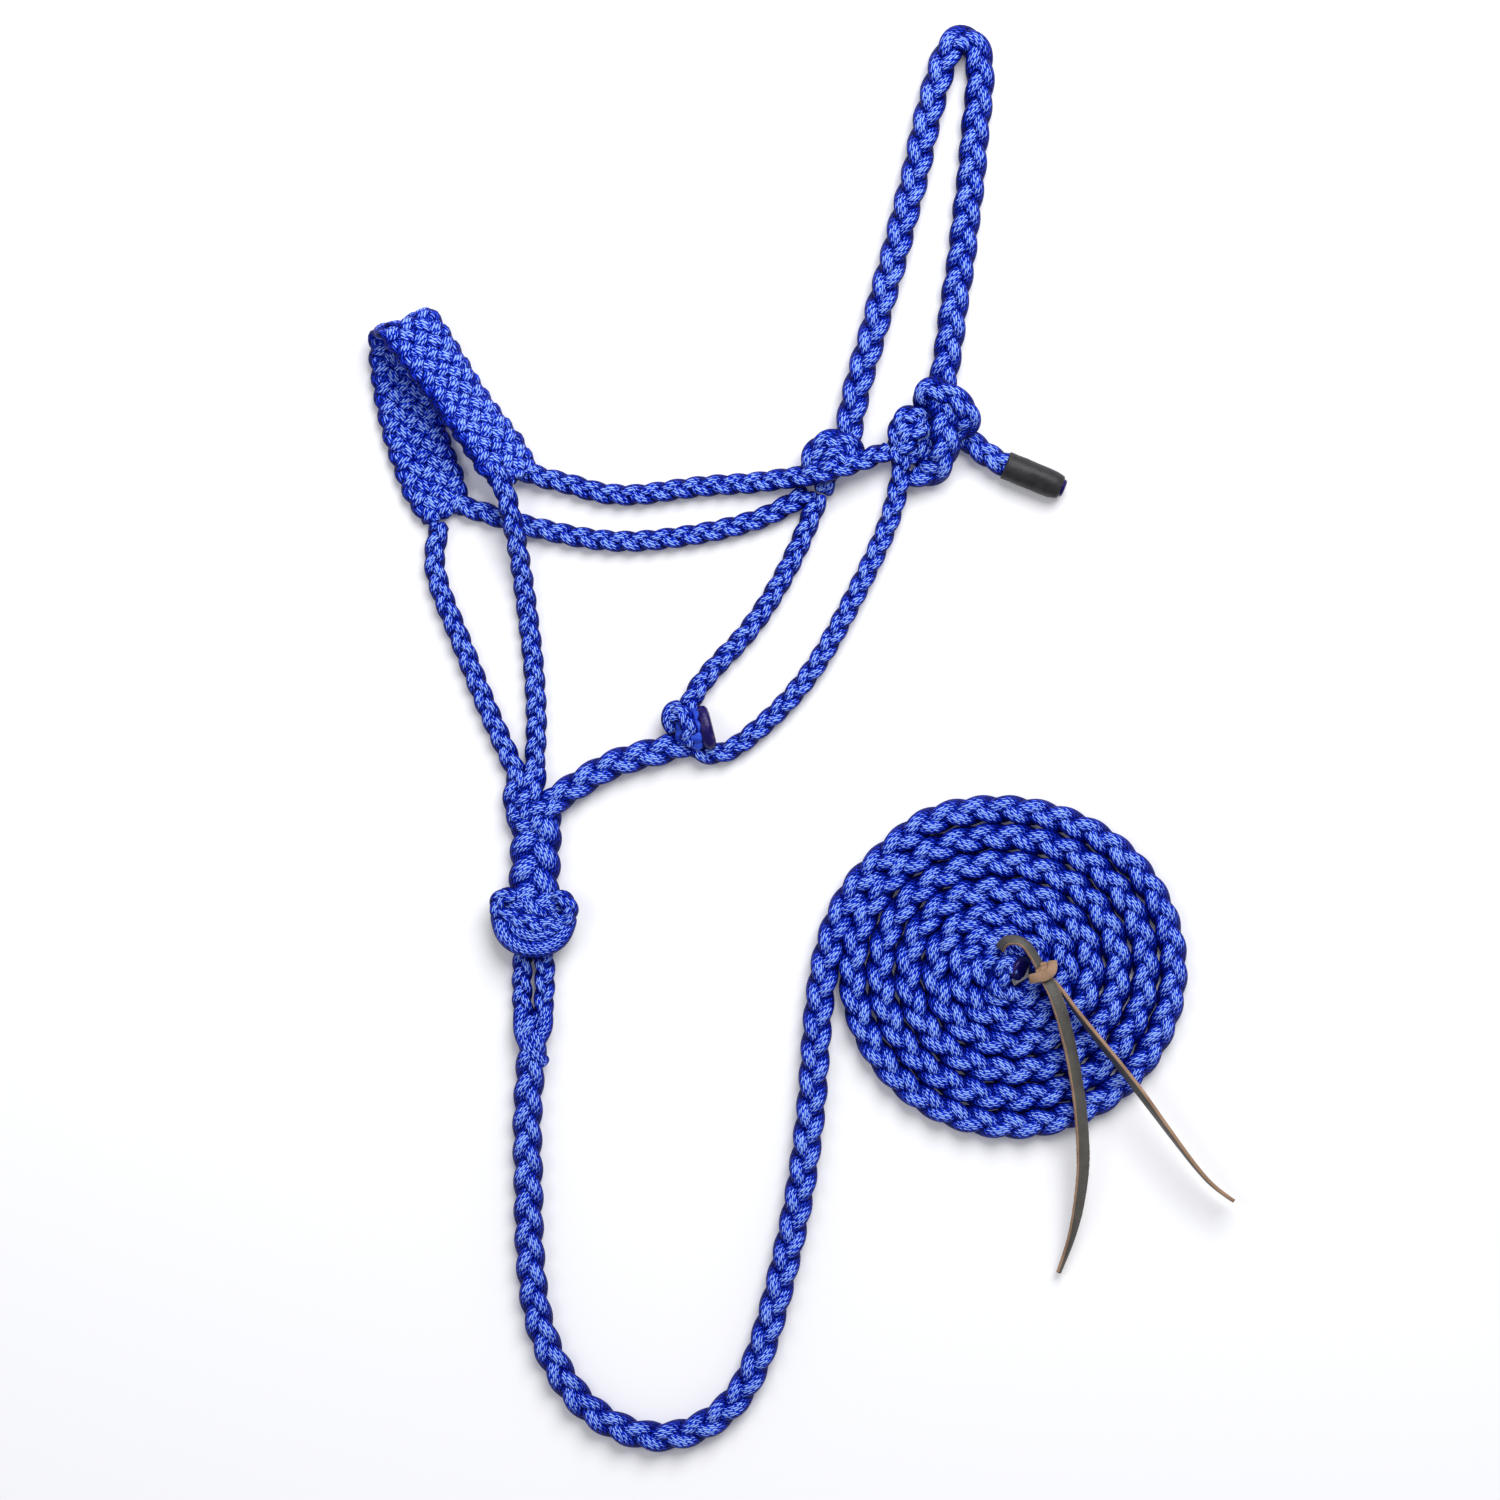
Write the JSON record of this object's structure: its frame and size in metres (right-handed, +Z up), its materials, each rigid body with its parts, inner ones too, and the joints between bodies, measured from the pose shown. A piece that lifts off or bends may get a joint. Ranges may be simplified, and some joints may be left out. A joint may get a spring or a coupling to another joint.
{
  "type": "rope halter",
  "caption": "Rope halter tied and plaited from blue cord, laid flat on its side, with a woven noseband, a tie knot at the cheek, and a long lead wound in a flat coil with a leather popper.",
  "frame": {"origin": "on the floor, under the middle of the halter's outline without its lead", "axes": "+Z up from the floor, +Y from the chin knot towards the crown, +X from the noseband towards the throat"},
  "size_m": [0.5753, 0.9483, 0.0361],
  "materials": {
    "rope": "soft braided polyester cord with a satin sheen",
    "leather": "grey-brown face with raw tan cut edges",
    "shrink_sleeve": "matt heat-shrunk tube",
    "melted_cord": "cord end melted hard and slightly glossy"
  },
  "bodies": {
    "halter": {"noseband": "rope", "cheek_braid_near": "rope", "cheek_braid_far": "rope", "nose_drop_near": "rope", "nose_drop_far": "rope", "chin_junction": "rope", "neck_braid": "rope", "collar_knot": "rope", "chin_strap": "rope", "toggle_knot": "rope", "toggle_melted_end": "melted_cord", "throatlatch": "rope", "far_cheek_knot": "rope", "crown_strap": "rope", "tie_loop": "rope", "tie_knot_top_turn": "rope", "tie_knot_bight": "rope"},
    "tail": {"crown_tail": "rope", "end_sleeve": "shrink_sleeve", "tail_melted_tip": "melted_cord"},
    "lead": {"lead_eye": "rope", "lead_rope": "rope", "lead_coil": "rope", "lead_end": "rope", "popper_loop": "leather", "popper_knot": "leather"},
    "tongue_near": {"popper_tongue_near": "leather"},
    "tongue_far": {"popper_tongue_far": "leather"}
  },
  "joints": [
    {"name": "lead_swing", "type": "hinge", "parent": "halter", "child": "lead", "pos_m": [-0.121, -0.3, 0.008], "axis": [0, 0, 1], "range_deg": [-35, 15]},
    {"name": "tail_swing", "type": "hinge", "parent": "halter", "child": "tail", "pos_m": [0.157, 0.043, 0.009], "axis": [0, 0, 1], "range_deg": [-15, 15]},
    {"name": "tongue_near_swing", "type": "hinge", "parent": "lead", "child": "tongue_near", "pos_m": [0.218, -0.321, 0.022], "axis": [0, 0, 1], "range_deg": [-15, 4]},
    {"name": "tongue_far_swing", "type": "hinge", "parent": "lead", "child": "tongue_far", "pos_m": [0.218, -0.321, 0.022], "axis": [0, 0, 1], "range_deg": [-4, 15]}
  ]
}
